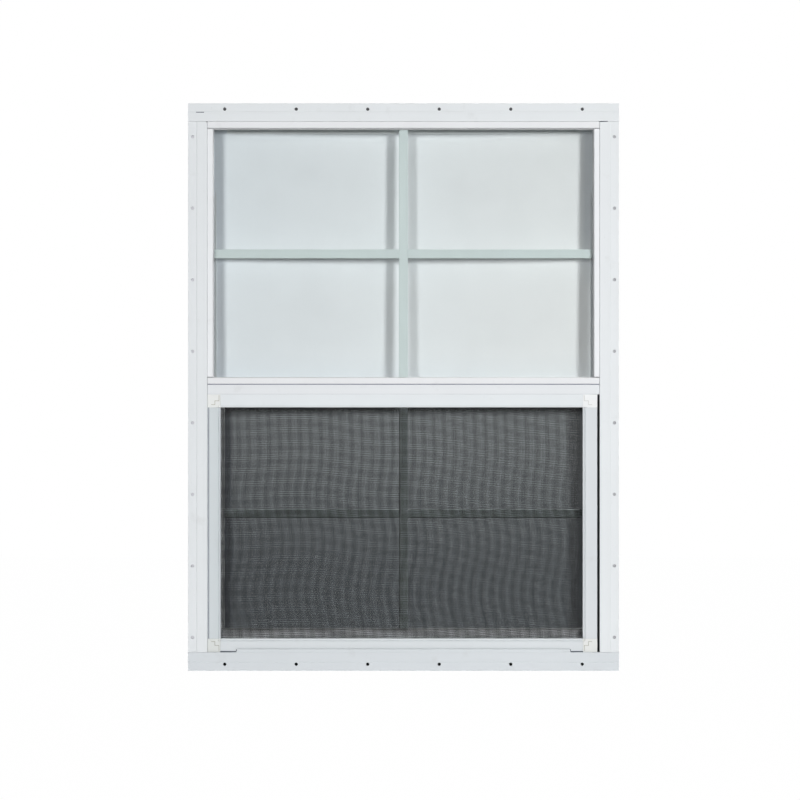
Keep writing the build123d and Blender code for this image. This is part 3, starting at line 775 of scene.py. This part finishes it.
for name in ("upper_glass", "sash_glass"):
    nodes[name].visible_shadow = False      # lamps and sky light what is behind the panes
print("finishes made:", len(bpy.data.materials))


# Insect mesh: coated yarns, fused where they cross, in rows that waver a little

weave = {
    "pitchAcross": 1.0258 * mm,
    "pitchUp": 1.6 * mm,
    "yarnWide": 0.36 * mm,
    "yarnThick": 0.22 * mm,
    "sides": 4,
    "spans": 36,
    "uneven": 0.07 * mm,        # how far a yarn lies from its place
    "seed": 7,
    "crowd": 0.55 * mm,         # how far the upright rows crowd together and spread, and how often
    "crowdEvery": 11.6 * mm,
    "crowdFrom": 4.6 * mm,
    "crowdRounds": 4,
    "waver": 4.0 * mm,          # how far those bands wander on the way down, and how often
    "waverEvery": 112 * mm,
    "waverFrom": 162 * mm,
    "waverFade": 0.9,           # how fast they straighten above that, and what stays
    "waverLeast": 0.15,
    "crowdUp": 0.80 * mm,       # the same for the level rows, whose bands slope down to the right
    "crowdUpEvery": 14.4 * mm,
    "slope": 0.2,
    "bend": 0.6,
    "wobble": 3.0 * mm,
    "wobbleEvery": 24 * mm,
    # painted highlight on the crossings where the upright yarn lies on top, painted shade on the others
    "over": rgb(0.032, 0.033, 0.035),
    "under": rgb(0.001, 0.001, 0.001),
    "roughness": 0.5,
    "specular": 0.3,
    "fleckScale": 1500.0,
    "bump": 0.3,
    "bumpDepth": 0.1 * mm,
}


def yarnFinish(left, foot):
    # painted highlight: every other crossing, where the upright yarn lies on top, is painted lighter, and
    # the others darker as painted shade
    finish, at = startFinish("insectYarn")
    across = (axisOf(at, "X") - left) * (math.pi / weave["pitchAcross"])
    up = (axisOf(at, "Z") - foot) * (math.pi / weave["pitchUp"])
    crossing = across.wave() * up.wave() * 0.5 + 0.5
    fleck = cloud(at, weave["fleckScale"], 2.0)
    endFinish(at, {
        "Base Color": tinted(crossing, weave["under"], weave["over"]),
        "Roughness": fleck * 0.2 + weave["roughness"],
        "Specular IOR Level": weave["specular"],
        "Normal": bumped(crossing * 0.7 + fleck * 0.3, weave["bump"], weave["bumpDepth"]),
    })
    return finish


def yarnRow(name, start, step, count, run, turn):
    # one closed yarn along its run, then a row of them
    bm = bmesh.new()
    bmesh.ops.create_circle(bm, cap_ends=True, segments=weave["sides"], radius=math.sqrt(0.5))
    bmesh.ops.rotate(bm, matrix=Matrix.Rotation(math.pi / 4, 3, "Z"), verts=bm.verts)
    bmesh.ops.scale(bm, vec=(weave["yarnWide"], weave["yarnThick"], 1), verts=bm.verts)
    grown = bmesh.ops.extrude_face_region(bm, geom=bm.faces[:])["geom"]
    tips = [v for v in grown if isinstance(v, bmesh.types.BMVert)]
    bmesh.ops.translate(bm, vec=(0, 0, run), verts=tips)
    bmesh.ops.recalc_face_normals(bm, faces=bm.faces)
    long = [e for e in bm.edges if e.calc_length() > run / 2]
    bmesh.ops.subdivide_edges(bm, edges=long, cuts=weave["spans"] - 1, use_grid_fill=True)
    bmesh.ops.transform(bm, matrix=Matrix.Translation(start) @ turn, verts=bm.verts)
    mesh = bpy.data.meshes.new(name)
    bm.to_mesh(mesh)
    bm.free()
    row = bpy.data.objects.new(name, mesh)
    scene.collection.objects.link(row)
    array = row.modifiers.new("row", "ARRAY")
    array.count = count
    array.use_relative_offset = False
    array.use_constant_offset = True
    array.constant_offset_displace = step
    made = bpy.data.meshes.new_from_object(row.evaluated_get(bpy.context.evaluated_depsgraph_get()))
    bpy.data.objects.remove(row)
    return made


def crowded(place, start, by, every):
    # moves a yarn so that the rows are closer and wider in even bands
    spot = place
    for i in range(weave["crowdRounds"]):
        spot = place + by * math.sin(2 * math.pi * (spot - start) / every)
    return spot - place


def bandStart(z):
    drop = (weave["waverFrom"] - z) / weave["waverEvery"]
    grown = min(max(1.0 + drop * weave["waverFade"], weave["waverLeast"]), 1.0)
    return weave["crowdFrom"] + weave["waver"] * grown * math.sin(2 * math.pi * drop)


def bandStartUp(x):
    return weave["wobble"] * math.sin(x / weave["wobbleEvery"]) - (weave["slope"] + weave["bend"] * x) * x


def makeInsectMesh():
    low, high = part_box("screen_mesh")
    y = high.y - weave["yarnThick"] / 2
    wide, tall = high.x - low.x, high.z - low.z
    acrossCount = int(wide / weave["pitchAcross"])
    upCount = int(tall / weave["pitchUp"])
    left = (low.x + high.x - (acrossCount - 1) * weave["pitchAcross"]) / 2
    foot = (low.z + high.z - (upCount - 1) * weave["pitchUp"]) / 2
    upright = Matrix.Identity(4)
    flat = Matrix.Rotation(math.pi / 2, 4, "Y")
    warp = yarnRow("warp", (left, y, low.z), (weave["pitchAcross"], 0, 0), acrossCount, tall, upright)
    weft = yarnRow("weft", (low.x, y, foot), (0, 0, weave["pitchUp"]), upCount, wide, flat)
    chance = random.Random(weave["seed"])
    offAcross = [chance.uniform(-1, 1) * weave["uneven"] for i in range(acrossCount)]
    offUp = [chance.uniform(-1, 1) * weave["uneven"] for i in range(upCount)]
    for vert in warp.vertices:
        yarn = round((vert.co.x - left) / weave["pitchAcross"])
        place, start = left + yarn * weave["pitchAcross"], bandStart(vert.co.z)
        vert.co.x += crowded(place, start, weave["crowd"], weave["crowdEvery"]) + offAcross[yarn]
    for vert in weft.vertices:
        yarn = round((vert.co.z - foot) / weave["pitchUp"])
        place, start = foot + yarn * weave["pitchUp"], bandStartUp(vert.co.x)
        vert.co.z += crowded(place, start, weave["crowdUp"], weave["crowdUpEvery"]) + offUp[yarn]
    bm = bmesh.new()
    bm.from_mesh(warp)
    bm.from_mesh(weft)
    piece = meshObject("insect_mesh", bm, yarnFinish(left, foot))
    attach(piece, "root")
    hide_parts("screen_mesh")
    print("insect mesh:", acrossCount, "by", upCount, "yarns,", len(piece.data.polygons), "faces")


makeInsectMesh()
